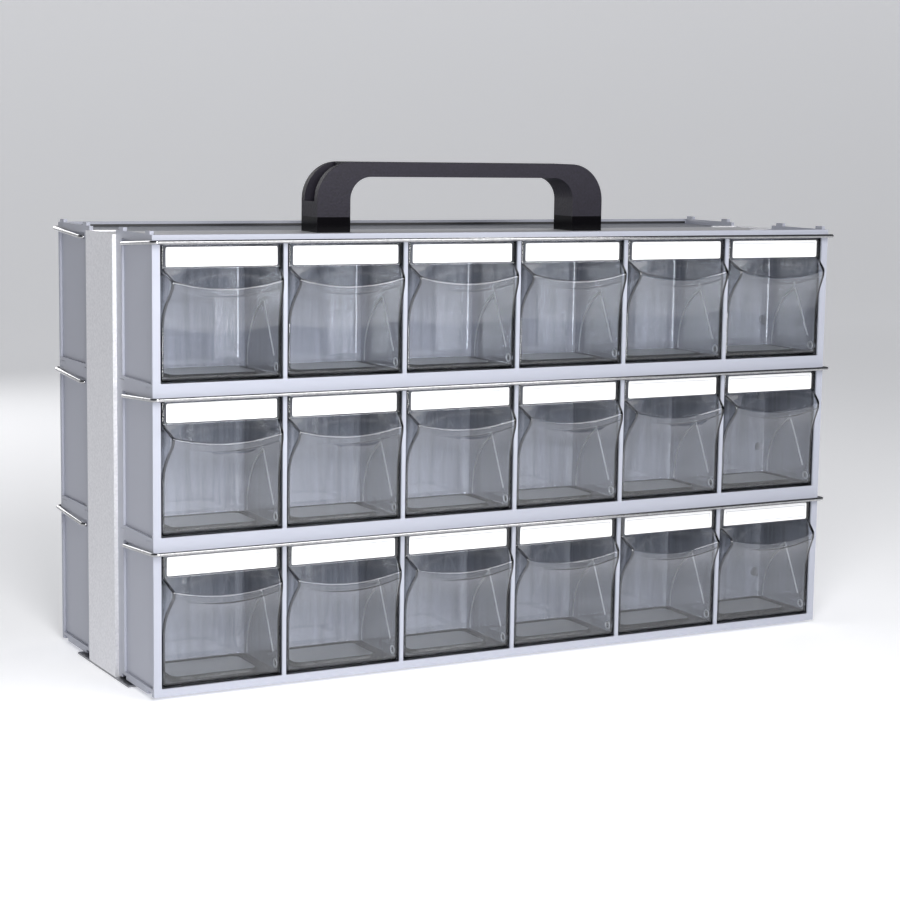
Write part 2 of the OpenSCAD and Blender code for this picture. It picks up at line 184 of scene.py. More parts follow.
def roughen(material, shader, height, millimetres):
    """Turns a height pattern of this depth into a bump on the surface."""
    bump = add(material, "Bump", {"Height": height, "Distance": millimetres * MM})
    feed(material, bump.outputs["Normal"], shader.inputs["Normal"])


# %% [markdown]
# ## Moulded ABS for the housings
# The housings are injection-moulded ABS in a light blue-grey. The mould's fine spark
# texture gives a satin surface: a broad soft highlight, and no mirror image. ABS has an
# IOR near 1.54. The walls and back panels of the cells were drawn straight out of the
# mould, which left faint upright drag marks, and they lie in the bins' shade. The bins'
# thin walls cast no shadow here, which saves much light tracing, so the surfaces inside a
# cell are drawn in a darker tone instead. The narrow gap behind the front frame and the
# floor under the bins, where no light gets in, are darker still. Masks measure how deep a
# point lies behind each face.

# %% ABS
PATTERN = "housing_front_lower"  # the housing that the others are copied from
END_SKIN, FACE_SKIN, FOOT_SKIN = 4, 1.6, 2  # outer layers of the housing in the pale tone
CELL_HEAD = 110  # the cells end below this height
GAP_DEPTH = 4.6  # the dark gap ends this far behind the front face
UNDER_BIN = 6.9  # the dark floor ends this high above the housing's foot
DRAG_MARK = 2.2  # width of a drag mark


def moulded_abs():
    """Satin blue-grey ABS, darker inside the cells, with upright drag marks there."""
    material, shader = start("moulded_abs", {"Roughness": 0.38, "IOR": 1.54})
    place = add(material, "SeparateXYZ", {0: add(material, "TexCoord", {}).outputs["Object"]})
    low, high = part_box(PATTERN)
    inside = 1.0
    for axis, near, far in (("X", low.x + END_SKIN * MM, high.x - END_SKIN * MM),
                            ("Y", low.y + FACE_SKIN * MM, high.y - FACE_SKIN * MM),
                            ("Z", low.z + FOOT_SKIN * MM, low.z + CELL_HEAD * MM)):
        within = between(material, place.outputs[axis], near, far)
        inside = compute(material, "MULTIPLY", inside, within)
    marks = grain(material, DRAG_MARK, detail=5, stretch=(1, 1, 0.04))
    marks = add(material, "MapRange", {"Value": marks, "From Min": 0.38, "From Max": 0.66}).outputs[0]
    cell = blend_colours(material, marks, "#8D909B", "#72757F")
    in_gap = compute(material, "LESS_THAN", place.outputs["Y"], low.y + GAP_DEPTH * MM)
    under_bin = compute(material, "LESS_THAN", place.outputs["Z"], low.z + UNDER_BIN * MM)
    cell = blend_colours(material, compute(material, "MAXIMUM", in_gap, under_bin), cell, "#232428")
    feed(material, blend_colours(material, inside, "#A8ABB7", cell), shader.inputs["Base Color"])
    roughen(material, shader, grain(material, 0.5), 0.02)
    return material


# %% [markdown]
# ## Clear polystyrene for the bins
# The bins are crystal polystyrene, the clearest and cheapest moulding plastic. Its IOR is
# 1.59, higher than acrylic, so edges look dark and corners glint. The moulding is glossy
# but never quite flat: the melt froze in slow waves, and these bend what lies behind.
# Round the foot of the walls and at the front corners light travels along the plastic
# instead of through it, so these read as dark outlines. These outlines are painted shade:
# those faces get a dark tint.

# %% Polystyrene


def polystyrene(name, tint, roughness, transmission, depth, **lumps):
    """Polystyrene with a bump of this depth in mm. The other values go to its grain."""
    surface = {"Roughness": roughness, "IOR": 1.59, "Transmission Weight": transmission}
    material, shader = start(name, surface)
    shader.inputs["Base Color"].default_value = linear(tint)
    roughen(material, shader, grain(material, **lumps), depth)
    return material


def crystal_polystyrene():
    """Clear and glossy, with slow waves from the mould, and a grey tint that is partly painted shade."""
    # the grey tint is partly the plastic's own and partly painted shade: the bins cast no shadow, so
    # what is seen through them is darkened instead
    return polystyrene("crystal_polystyrene", "#DBDDE0", 0.01, 1.0, 0.06,
                       millimetres=7, detail=1, stretch=(1, 1, 0.25))


def outline_shade_polystyrene():
    """The same plastic with a dark tint: painted shade for the outlines at the foot and front corners.
    """
    return polystyrene("outline_shade_polystyrene", "#55565A", 0.05, 1.0, 0.03, millimetres=7, detail=1)


def satin_polystyrene():
    """The same plastic where a moulded rib or the pad's fine texture scatters the light."""
    return polystyrene("satin_polystyrene", "#C4C8CE", 0.35, 0.85, 0.05, millimetres=0.6)


# %% [markdown]
# ## Coated card for the labels
# Each bin holds a blank white card with a printed hairline border. The border is drawn
# from the card's own coordinates, a fixed distance inside each edge.

# %% Card
CARD = Vector((86, 0.4, 14))  # width, thickness and height of a label card
BORDER = 2.2  # from the card's edge to the printed line
LINE = 0.45  # width of the printed line


def coated_card():
    """White card with a grey hairline border printed on it."""
    material, shader = start("coated_card", {"Roughness": 0.55, "IOR": 1.5})
    place = add(material, "SeparateXYZ", {0: add(material, "TexCoord", {}).outputs["UV"]})
    edges = []
    for axis, length in (("X", CARD.x), ("Y", CARD.z)):
        centred = compute(material, "SUBTRACT", place.outputs[axis], 0.5)
        inside = compute(material, "SUBTRACT", 0.5, compute(material, "ABSOLUTE", centred))
        edges.append(compute(material, "MULTIPLY", inside, length))
    nearest = compute(material, "MINIMUM", edges[0], edges[1])
    from_line = compute(material, "ABSOLUTE", compute(material, "SUBTRACT", nearest, BORDER))
    printed = compute(material, "LESS_THAN", from_line, LINE / 2)
    feed(material, blend_colours(material, printed, "#F7F7F8", "#B9BAC0"), shader.inputs["Base Color"])
    roughen(material, shader, grain(material, 0.4), 0.01)
    return material


# %% [markdown]
# ## The metals
# A metal's colour is its reflection, so its base colour is the tint of that reflection and
# its roughness says how the surface was finished. The bails are drawn steel wire, left
# bright. The columns are matt anodised aluminium: the etch before the bath leaves a fine
# sparkle, which is drawn as speckles of about a millimetre so that it shows. The foot
# plates are galvanised sheet, with zinc crystals of several millimetres. Screws are zinc
# plated, except the black oxide ones in the handle.

# %% Metals


def metal(name, dark, light, roughness, lump, depth):
    """A metal with speckles between two colours. Lump and depth are the speckles' size in mm."""
    material, shader = start(name, {"Metallic": 1.0, "Roughness": roughness})
    speckles = grain(material, lump, detail=3)
    feed(material, blend_colours(material, speckles, dark, light), shader.inputs["Base Color"])
    roughen(material, shader, speckles, depth)
    return material


DRAWN_STEEL = metal("drawn_steel", "#8E8E90", "#CFCFD0", 0.16, 1.2, 0.01)
ALUMINIUM = metal("anodised_aluminium", "#CFCFD3", "#F3F3F5", 0.5, 0.9, 0.05)
GALVANISED = metal("galvanised_sheet", "#6D6C70", "#A3A4A8", 0.45, 6, 0.02)
ZINC = metal("zinc_plate", "#A7A9AE", "#C3C5C9", 0.35, 1, 0.01)
RIVET = metal("mill_aluminium", "#A5A6AA", "#C9CACD", 0.4, 1, 0.01)
BLACK_OXIDE = metal("black_oxide", "#1C1B1D", "#2D2C2F", 0.4, 1, 0.01)

# %% [markdown]
# ## Glass-filled nylon for the handle
# The bridge handle is nylon with glass fibre, which fills the surface with a leathery
# spark texture and turns black into a dark violet-grey where light grazes it. The feet of
# its legs are polished in the mould, so they stay black. Nylon's IOR is near 1.53, and the
# carbon black at the surface weakens its reflection.

# %% Nylon
NYLON_IOR = 1.53


def textured_nylon():
    """Black nylon with a coarse spark texture."""
    surface = {"Roughness": 0.55, "IOR": NYLON_IOR, "Specular IOR Level": 0.35}
    material, shader = start("textured_nylon", surface)
    peaks = grain(material, 0.9, detail=4)
    feed(material, blend_colours(material, peaks, "#141219", "#292534"), shader.inputs["Base Color"])
    roughen(material, shader, peaks, 0.25)
    return material


def polished_nylon():
    """The same nylon where the mould was polished."""
    surface = {"Roughness": 0.12, "IOR": NYLON_IOR, "Specular IOR Level": 0.08}
    material, shader = start("polished_nylon", surface)
    shader.inputs["Base Color"].default_value = linear("#0B0A0D")
    roughen(material, shader, grain(material, 3), 0.02)
    return material


ABS = moulded_abs()
CLEAR = crystal_polystyrene()
SATIN = satin_polystyrene()
# the dark tint painted as shade on the bins' wall foot and front corners
OUTLINE_SHADE = outline_shade_polystyrene()
PAPER = coated_card()
NYLON = textured_nylon()
POLISHED = polished_nylon()
print("materials:", len(bpy.data.materials))

# %% [markdown]
# ## Softened edges on the CAD pieces
# CAD solids have knife edges, and no moulded or folded edge is sharp. A small rounding
# catches a line of light on every edge, which is most of what makes a plain box look
# real. A copy of the CAD mesh is welded, its flat triangles are merged, and what edges
# are left are bevelled. Weighted normals keep the wide faces flat.

# %% Edge rounding
WELD = 0.002 * MM  # points closer than this are one
FLAT = math.radians(0.5)  # faces that meet at less than this are merged
SHARP = math.radians(40)  # edges that turn by more than this are rounded
CREASE = math.radians(50)  # edges that turn by more than this stay creased in the shading


def modify(piece, kind, **settings):
    """Adds a modifier with its settings."""
    modifier = piece.modifiers.new(kind.lower(), kind)
    for name, value in settings.items():
        setattr(modifier, name, value)


def settle(piece):
    """Turns the mesh as its modifiers show it into the piece's own mesh."""
    bpy.context.view_layer.update()
    shown = piece.evaluated_get(bpy.context.evaluated_depsgraph_get())
    mesh = bpy.data.meshes.new_from_object(shown)
    piece.modifiers.clear()
    piece.data = mesh


def new_piece(name, mesh):
    """An object for a mesh, in the scene."""
    piece = bpy.data.objects.new(name, mesh)
    bpy.context.scene.collection.objects.link(piece)
    return piece


def shade(piece):
    """Smooth shading with creases, and normals that keep the wide faces flat."""
    piece.data.polygons.foreach_set("use_smooth", [True] * len(piece.data.polygons))
    piece.data.set_sharp_from_angle(angle=CREASE)
    modify(piece, "WEIGHTED_NORMAL", keep_sharp=True)
    settle(piece)


def soften(node, material, radius, steps=2):
    """A copy of a CAD node with its edges rounded by this radius in mm."""
    piece = new_piece(node + "_soft", frame["nodes"][node].data.copy())
    piece.data.materials.clear()
    piece.data.materials.append(material)
    modify(piece, "WELD", merge_threshold=WELD)
    modify(piece, "DECIMATE", decimate_type="DISSOLVE", angle_limit=FLAT)
    modify(piece, "BEVEL", width=radius * MM, segments=steps, limit_method="ANGLE",
           angle_limit=SHARP, use_clamp_overlap=True, miter_outer="MITER_ARC")
    settle(piece)
    shade(piece)
    return piece


def stand_in(piece, node):
    """Puts a piece in the place of a CAD node, on the node's body."""
    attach(piece, frame["nodes"][node]["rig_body"])
    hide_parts(node)


SOFTENED = {}
for end in ("left", "right"):
    SOFTENED[f"frame_column_{end}"] = (ALUMINIUM, 0.5, "frame_aluminium")
    SOFTENED[f"foot_plate_{end}"] = (GALVANISED, 0.3, "foot_sheet")
for level in ("top", "bottom"):
    SOFTENED[f"frame_{level}_rail"] = (ALUMINIUM, 0.5, "frame_aluminium")
for node, (material, radius, slot) in SOFTENED.items():
    stand_in(soften(node, material, radius), node)
print("softened:", len(SOFTENED), "pieces")

# %% [markdown]
# ## Six housings from one mould
# All housings are the same moulding, so one is softened and its mesh is shared. The rows
# stand above each other, and the rear ones are turned by half a turn about the rack's
# middle.

# %% Place the housings
pattern = soften(PATTERN, ABS, 0.6)
HOUSING = pattern.data
bpy.data.objects.remove(pattern)


def half_turn(is_rear):
    """No turn for the front side, and half a turn about Z for the rear side."""
    return Matrix.Rotation(math.pi if is_rear else 0, 4, "Z")


for side in SIDES:
    for row in ROWS:
        node = f"housing_{side}_{row}"
        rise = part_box(node)[0].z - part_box(PATTERN)[0].z
        piece = new_piece(node + "_soft", HOUSING)
        piece.matrix_world = Matrix.Translation((0, 0, rise)) @ half_turn(side == "rear")
        stand_in(piece, node)
print("faces in a housing:", len(HOUSING.polygons))

# %% [markdown]
# ## Screws, nuts and rivets
# The fasteners are small and their CAD shapes are right, so the nodes stay and only get
# their finishes.

# %% Fasteners
for node, material in (("frame_rivets", RIVET), ("housing_screws", ZINC),
                       ("handle_screws", BLACK_OXIDE), ("handle_nuts", ZINC)):
    slots = frame["nodes"][node].data.materials
    slots.clear()
    slots.append(material)

# %% [markdown]
# ## The bin's measures
# Every bin is the same moulding, so one mesh is built and shared by all of them. It is
# built in millimetres round the hinge axis: x runs across the bin, y to the back and z up.
# Its outer measures come from the CAD node. The rest are its wall and the form of its lip.

# %% Bin measures
hinge = Vector(JOINTS["bin_front_lower_1_tilt"]["pos_m"])
low, high = ((corner - hinge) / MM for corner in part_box("bin_front_lower_1"))
PIN_END = high.x
HALF = PIN_END - 2.0  # half the width over the side walls, which the pins reach past
FLOOR = low.z
TOP = high.z
BACK = high.y
LIP = low.y
LIP_OUT = 13  # how far the lip stands in front of the wall
FRONT = LIP + LIP_OUT
REAR_TOP = TOP - 22.1  # the rear wall is lower than the front
WALL = 1.8
PANEL_FOOT = TOP - 16.5  # the label panel ends here, and the finger scoop begins
FLARE_FOOT = PANEL_FOOT - 33  # the front wall begins to flare here
measures = {"wide": 2 * HALF, "deep": BACK - LIP, "high": TOP - FLOOR}
print("bin in mm:", {name: round(value, 2) for name, value in measures.items()})

# %% [markdown]
# ## The front wall as a section
# Seen from the side, the front wall runs up from the floor, flares out to the lip, turns
# up round the rim, slopes back to the foot of the label panel and runs up to the top. The
# lip sags between its ends like a smile, so the section is drawn once for each place
# across the bin. Each corner becomes an arc. The inner face is the same path, moved inside
# by the wall's thickness.

# %% Front section
LIP_DROP = 8.5  # from the panel's foot down to the ends of the lip
LIP_SAG = 6  # from there down to the middle of the lip
LIP_RIM = 5.5  # height of the rim under the lip
RIM_LEAN = 0.8  # how far the rim's foot stands behind the lip
FLOOR_ROUND = 4.0
OUTER_ROUNDS = (38, 3.5, 3.3, 1.6)  # radii at the flare's foot, the rim's foot, the lip and the panel
INNER_ROUNDS = (39.8, 1.7, 1.5, 2.2)
RIM_ROUND = 0.5
POCKET_Z = (PANEL_FOOT + 0.85, TOP - 0.85)  # foot and head of the label's pocket
POCKET_STEP = 0.1  # half the height of the step at the pocket's foot and head


def inset(path, distance):
    """An open (y, z) path moved to its right by a distance."""
    moved = []
    for i, here in enumerate(path):
        normals = []
        for a, b in ((i - 1, i), (i, i + 1)):
            if a >= 0 and b < len(path):
                along = (path[b] - path[a]).normalized()
                normals.append(Vector((along.y, -along.x)))
        first, last = normals[0], normals[-1]
        moved.append(here + (first + last) * distance / (1 + first.dot(last)))
    return moved


def rounded(path, radii, steps=5):
    """A (y, z) path whose inner corners are arcs of these radii."""
    points = [path[0]]
    for before, here, after, radius in zip(path, path[1:], path[2:], radii):
        back, on = (before - here).normalized(), (after - here).normalized()
        half = back.angle(on) / 2
        centre = here + (back + on).normalized() * radius / math.sin(half)
        first = here + back * radius / math.tan(half) - centre
        last = here + on * radius / math.tan(half) - centre
        for k in range(steps + 1):
            points.append(centre + first.lerp(last, k / steps).normalized() * radius)
    return points + [path[-1]]


def front_section(t, depth):
    """The front wall's (y, z) path at t, -1 to 1 across the bin, this deep inside its outer face."""
    lip = PANEL_FOOT - LIP_DROP - LIP_SAG * (1 - t * t)
    corners = [(FRONT, FLOOR), (FRONT, FLARE_FOOT), (LIP + RIM_LEAN, lip - LIP_RIM),
               (LIP, lip), (FRONT, PANEL_FOOT), (FRONT, TOP)]
    path = inset([Vector(corner) for corner in corners], depth)
    path[0].y = FLOOR + FLOOR_ROUND
    path = rounded(path, OUTER_ROUNDS if depth == 0 else INNER_ROUNDS)
    for level in POCKET_Z:
        for z in (level - POCKET_STEP, level + POCKET_STEP):
            path.insert(-1, Vector((FRONT + depth, z)))
    path[-1].y = TOP - RIM_ROUND
    return path


print("points in a section:", len(front_section(0, 0)))

# %% [markdown]
# ## Rings round the bin
# The skin is a stack of rings that all have the same number of points, like the hoops of a
# barrel: bridging one ring to the next gives clean quads. A ring runs across the front,
# round a corner, back along a side, round the rear and forward again. The flare narrows
# towards the lip, which makes the three-cornered gussets at its ends. The rows on the
# sides fan down towards the bin's lower rear edge.

# %% Rings
FRONT_ROUND = 2.0
REAR_ROUND = 11
LEAST_ROUND = 0.6
CORNER_STEPS = 7
LIP_INSET = 3.5  # the lip is this much narrower at each end than the bin
SLOPE_FROM = 10  # under this height the rows on the sides are level
POCKET_HALF = 43.4  # half the width of the label's pocket
EDGE = POCKET_HALF / (HALF - FRONT_ROUND)  # the pocket's edge as a share of half the front
EDGE_STEP = 0.003
ACROSS = [-1, -EDGE - EDGE_STEP, -EDGE + EDGE_STEP] + [EDGE * k / 8 for k in range(-7, 8)]
ACROSS += [EDGE - EDGE_STEP, EDGE + EDGE_STEP, 1]


def row_height(front_z, y):
    """Height of a row on the side or rear wall, where its height at the front is front_z."""
    if front_z <= SLOPE_FROM:
        return front_z
    rear_z = SLOPE_FROM + (front_z - SLOPE_FROM) * (REAR_TOP - SLOPE_FROM) / (TOP - SLOPE_FROM)
    share = min(max((y - FRONT - WALL) / (BACK - FRONT - WALL), 0), 1)
    return front_z + (rear_z - front_z) * share


def arc(centre_x, centre_y, radius, from_degrees):
    """Points of a quarter turn in plan, anticlockwise."""
    turns = [math.radians(from_degrees + 90 * k / CORNER_STEPS) for k in range(CORNER_STEPS + 1)]
    return [(centre_x + radius * math.cos(a), centre_y + radius * math.sin(a)) for a in turns]


def ring(depth, front_points, corner=LEAST_ROUND):
    """A closed ring this deep inside the outer face. front_points are (y, z), left to right."""
    half = HALF - depth
    front_r = max(FRONT_ROUND - 0.6 * depth, corner)
    rear_r = max(REAR_ROUND - depth, corner)
    end_y, end_z = front_points[-1]
    lip_half = half - LIP_INSET * min(max((FRONT + depth - end_y) / LIP_OUT, 0), 1)
    front = [(t * (lip_half - front_r), y, z) for t, (y, z) in zip(ACROSS, front_points)]
    plan = arc(lip_half - front_r, end_y + front_r, front_r, 270)[1:]
    plan.append((half, max(FRONT + depth + front_r, end_y + front_r + 0.01)))
    plan += arc(half - rear_r, BACK - depth - rear_r, rear_r, 0)
    right = [(x, y, row_height(end_z, y)) for x, y in plan]
    left = [(-x, y, z) for x, y, z in reversed(right)]
    return front + right + left


def level_ring(depth, z, corner=LEAST_ROUND):
    """A ring at one height, as round the floor."""
    return ring(depth, [(FRONT + depth, z)] * len(ACROSS), corner)


print("points in a ring:", len(level_ring(0, FLOOR)))

# %% [markdown]
# ## The skin of the bin
# From the middle of the underside outwards, the rings go up the outside, over the rim,
# down the inside and in across the floor. The inner floor carries a raised pad with a
# finely textured top, as the real moulding does to stiffen it. The label's pocket is a
# step in the rings' front.

# %% Bin skin
POCKET_DEPTH = 0.7
PAD_EDGE = 12  # from the bin's outside to the foot of the pad
PAD_RISE = 2.4
PAD_CORNER = 6.0
FOOT_BANDS = 6  # the bands of faces from the inner walls' foot to the top of the pad
IS_CLEAR, IS_SATIN, IS_OUTLINE_SHADE = range(3)  # the bin's three materials


def pocketed(t, y, z):
    """Sets the outer face back where the label card lies."""
    inside = abs(t) < EDGE and POCKET_Z[0] < z < POCKET_Z[1]
    return (y + POCKET_DEPTH if inside else y, z)


def wall_rings(depth):
    """The rings of the outer or inner face from the floor's rounding to the rim's."""
    sections = [front_section(t, depth) for t in ACROSS]
    rings = []
    for j in range(len(sections[0])):
        row = [tuple(section[j]) for section in sections]
        if depth == 0:
            row = [pocketed(t, y, z) for t, (y, z) in zip(ACROSS, row)]
        rings.append(ring(depth, row))
    return rings


def floor_rings(depth):
    """The rings that round the floor's edge, from the floor up."""
    radius = FLOOR_ROUND - depth
    turns = [math.radians(a) for a in (0, 22.5, 45, 67.5)]
    return [level_ring(depth + radius * (1 - math.sin(a)), FLOOR + depth + radius * (1 - math.cos(a)))
            for a in turns]


def rim_rings():
    """The rings over the top of the wall, from outside to inside."""
    near = 0.3 * RIM_ROUND
    over = ((near, near), (RIM_ROUND, 0), (WALL - RIM_ROUND, 0), (WALL - near, near))
    return [level_ring(depth, TOP - down) for depth, down in over]


def bin_rings():
    """All rings of the bin, from the underside over the rim to the pad on the floor."""
    steps = ((0, 0), (0.5, 0.7), (1.6, 1))
    pad = [level_ring(PAD_EDGE + across, FLOOR + WALL + up * PAD_RISE, PAD_CORNER)
           for across, up in steps]
    outside = floor_rings(0) + wall_rings(0)
    inside = floor_rings(WALL) + wall_rings(WALL)
    return outside + rim_rings() + inside[::-1] + pad


def skin(mesh, rings):
    """Bridges the rings and closes both ends. The foot and the inner front corners get a dark tint,
    painted shade.
    """
    loops = [[mesh.verts.new(Vector(point) * MM) for point in points] for points in rings]
    for k, (lower, upper) in enumerate(zip(loops, loops[1:])):
        for i in range(len(lower)):
            j = (i + 1) % len(lower)
            face = mesh.faces.new((lower[i], lower[j], upper[j], upper[i]))
            in_foot = k >= len(loops) - 1 - FOOT_BANDS
            at_corner = 0 <= i - len(ACROSS) + 1 < CORNER_STEPS or i >= len(lower) - CORNER_STEPS
            in_corner = at_corner and k > len(loops) // 2
            # the foot and the inner front corners get the dark tint of painted shade
            face.material_index = IS_OUTLINE_SHADE if in_foot or in_corner else IS_CLEAR
    mesh.faces.new(loops[0][::-1])
    mesh.faces.new(loops[-1]).material_index = IS_SATIN


# %% [markdown]
# ## Ribs, pivot rings and hinge pins
# Each side wall carries a moulded rib in the form of a sail. Its arc is struck from the
# hinge, and it stiffens the wall where it rubs as the bin tilts. A small ring thickens the
# wall round the pin. These bars catch more light than the wall, so they are satin.

# %% Bin bars
RIB_WIDTH = 1.2
RIB_RISE = 0.5
RIB_GAP = 0.02  # keeps a bar's face off the wall's
SAIL_RADIUS = 54
SAIL_TURNS = (math.radians(-4), math.radians(64))  # where the sail's arc begins and ends
MAST_FOOT = 9  # the straight rib begins this far from the hinge
RING_RADIUS = 3
PIN_RADII = (2.5, 2.3)


def circle(radius, first, last, steps):
    """(y, z) points on a circle about the hinge."""
    turns = [first + (last - first) * k / steps for k in range(steps + 1)]
    return [Vector((radius * math.cos(a), radius * math.sin(a))) for a in turns]


def bar(mesh, path, width, near, far, closed=False):
    """A rectangular bar along a (y, z) path, between two x planes."""
    edges = []
    for i, here in enumerate(path):
        before = path[i - 1] if closed or i else here
        after = path[(i + 1) % len(path)] if closed or i + 1 < len(path) else here
        along = (after - before).normalized()
        across = Vector((along.y, -along.x)) * width / 2
        edges.append([(x, *(here + side)) for x, side in
                      ((near, -across), (near, across), (far, across), (far, -across))])
    loops = [[mesh.verts.new(Vector(point) * MM) for point in square] for square in edges]
    for lower, upper in zip(loops, loops[1:] + (loops[:1] if closed else [])):
        for i in range(4):
            j = (i + 1) % 4
            mesh.faces.new((lower[i], lower[j], upper[j], upper[i])).material_index = IS_SATIN
    if not closed:
        mesh.faces.new(loops[0][::-1]).material_index = IS_SATIN
        mesh.faces.new(loops[-1]).material_index = IS_SATIN


def side_bars(mesh):
    """The sail rib and the pivot ring on the inside of both side walls."""
    far = HALF - WALL - RIB_GAP
    near = far - RIB_RISE
    sail = circle(SAIL_RADIUS, *SAIL_TURNS, 14)
    along = Vector((math.cos(SAIL_TURNS[1]), math.sin(SAIL_TURNS[1])))
    mast = [along * r for r in (MAST_FOOT, SAIL_RADIUS - 1)]
    for sign in (-1, 1):
        bar(mesh, sail, RIB_WIDTH, sign * near, sign * far)
        bar(mesh, mast, RIB_WIDTH, sign * near, sign * far)
        ring_path = circle(RING_RADIUS, 0, math.tau * 15 / 16, 15)
        bar(mesh, ring_path, RIB_WIDTH, sign * near, sign * far, closed=True)


def hinge_pins(mesh):
    """The two round pins outside the side walls."""
    for sign in (-1, 1):
        made = bmesh.ops.create_cone(mesh, cap_ends=True, segments=24, radius1=PIN_RADII[0] * MM,
                                     radius2=PIN_RADII[1] * MM, depth=(PIN_END - HALF) * MM)
        turn = Matrix.Rotation(sign * math.pi / 2, 4, "Y")
        shift = Matrix.Translation((sign * (PIN_END + HALF) / 2 * MM, 0, 0))
        bmesh.ops.transform(mesh, matrix=shift @ turn, verts=made["verts"])


# %% [markdown]
# ## One bin mesh
# The skin, the bars and the pins go into one mesh with three materials: clear, satin for
# the bars and the top of the pad, and a dark tint of painted shade for the foot of the walls
# and the front corners.

# %% Build the bin


def bin_mesh():
    """The shared mesh of all bins, in metres about the hinge axis."""
    mesh = bmesh.new()
    skin(mesh, bin_rings())
    bmesh.ops.remove_doubles(mesh, verts=mesh.verts, dist=0.02 * MM)
    hinge_pins(mesh)
    side_bars(mesh)
    bmesh.ops.recalc_face_normals(mesh, faces=mesh.faces)
    data = bpy.data.meshes.new("tilt_bin")
    mesh.to_mesh(data)
    mesh.free()
    data.materials.append(CLEAR)
    data.materials.append(SATIN)
    # the third material is painted shade: a dark tint for the walls' foot and the front corners
    data.materials.append(OUTLINE_SHADE)
    return data


pattern = new_piece("bin_pattern", bin_mesh())
shade(pattern)
BIN = pattern.data
bpy.data.objects.remove(pattern)
print("faces in a bin:", len(BIN.polygons))

# %% [markdown]
# ## The label card
# The card is a thin plate with clipped corners. Its coordinates for the print run from 0
# to 1 across it and up it.

# %% Card mesh
CARD_FRONT = FRONT + 0.1
CARD_FOOT = PANEL_FOOT + 1.25
CARD_CORNER = 0.8


def card_mesh():
    """The shared mesh of all label cards, in metres about the bin's hinge axis."""
    half, top = CARD.x / 2, CARD_FOOT + CARD.z
    outline = []
    for sign_x, sign_z in ((1, 1), (-1, 1), (-1, -1), (1, -1)):
        level = top if sign_z > 0 else CARD_FOOT
        corner = [(sign_x * half, level - sign_z * CARD_CORNER),
                  (sign_x * (half - CARD_CORNER), level)]
        outline += corner if sign_x == sign_z else corner[::-1]
    mesh = bmesh.new()
    layer = mesh.loops.layers.uv.new("card")
    faces = []
    for y in (CARD_FRONT, CARD_FRONT + CARD.y):
        faces.append(mesh.faces.new([mesh.verts.new(Vector((x, y, z)) * MM) for x, z in outline]))
    front, back = faces
    for i in range(len(outline)):
        j = (i + 1) % len(outline)
        mesh.faces.new((front.verts[i], front.verts[j], back.verts[j], back.verts[i]))
    bmesh.ops.recalc_face_normals(mesh, faces=mesh.faces)
    for face in mesh.faces:
        for loop in face.loops:
            x, _, z = loop.vert.co / MM
            loop[layer].uv = (x / CARD.x + 0.5, (z - CARD_FOOT) / CARD.z)
    data = bpy.data.meshes.new("label_card")
    mesh.to_mesh(data)
    mesh.free()
    data.materials.append(PAPER)
    return data


LABEL = card_mesh()

# %% [markdown]
# ## Thirty-six bins
# Each bin's joint says where its hinge is, and which way its axis points says which side
# of the rack it is on. The shared meshes go there, and ride on the bin's own body.

# %% Place the bins
bins = 0
for name, joint in JOINTS.items():
    if not name.endswith("_tilt"):
        continue
    body = joint["child"]
    place = Matrix.Translation(Vector(joint["pos_m"])) @ half_turn(joint["axis"][0] < 0)
    shell = new_piece(body + "_shell", BIN)
    shell.visible_shadow = False
    card = new_piece(body + "_card", LABEL)
    for piece, slot in ((shell, "clear_polystyrene"), (card, "label_card")):
        piece.matrix_world = place
        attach(piece, body)
    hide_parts(body)
    bins += 1
print("bins placed:", bins)

# %% [markdown]
# ## The wire bails
# A bail is one length of drawn wire with four bends, so it is built as a curve with a
# round section. The curve follows the wire's centre line: pin, bend, arm, bend and the
# run across the bins, and the same again on the other side.

# %% Bails
WIRE_RADIUS = 1.5
ARM = 66.04  # from the pivot to the centre line of the front run
ARM_X = 301.8  # from the rack's middle to an arm's centre line
PIN_X = 294.4  # from the rack's middle to a pin's end
PIN_BEND = 3  # radius of the bend between pin and arm
CORNER_BEND = 4.5  # radius of the bend between arm and front run
BEND_STEPS = 8
LIFTED = math.radians(3.5)  # how far the modelled bail stands above the horizontal


def bail_half():
    """Centre line from the pin's end to the start of the front run, flat, as (x, y) from the pivot."""
    turns = [math.pi / 2 * k / BEND_STEPS for k in range(1, BEND_STEPS + 1)]
    points = [(PIN_X, 0), (ARM_X - PIN_BEND, 0)]
    points += [(ARM_X - PIN_BEND * (1 - math.sin(a)), -PIN_BEND * (1 - math.cos(a))) for a in turns]
    points.append((ARM_X, CORNER_BEND - ARM))
    points += [(ARM_X - CORNER_BEND * (1 - math.cos(a)), CORNER_BEND * (1 - math.sin(a)) - ARM)
               for a in turns]
    return points


def bail_wire(name):
    """A curve along a bail's centre line, about its pivot axis, as it stands on the front side."""
    half = bail_half()
    line = half + [(-x, y) for x, y in reversed(half)]
    data = bpy.data.curves.new(name, "CURVE")
    data.dimensions = "3D"
    data.bevel_depth = WIRE_RADIUS * MM
    data.bevel_resolution = 6
    data.use_fill_caps = True
    spline = data.splines.new("POLY")
    spline.points.add(len(line) - 1)
    lift = Matrix.Rotation(-LIFTED, 3, "X")
    for point, (x, y) in zip(spline.points, line):
        point.co = (*(lift @ Vector((x, y, 0)) * MM), 1)
    spline.use_smooth = True
    data.materials.append(DRAWN_STEEL)
    return data


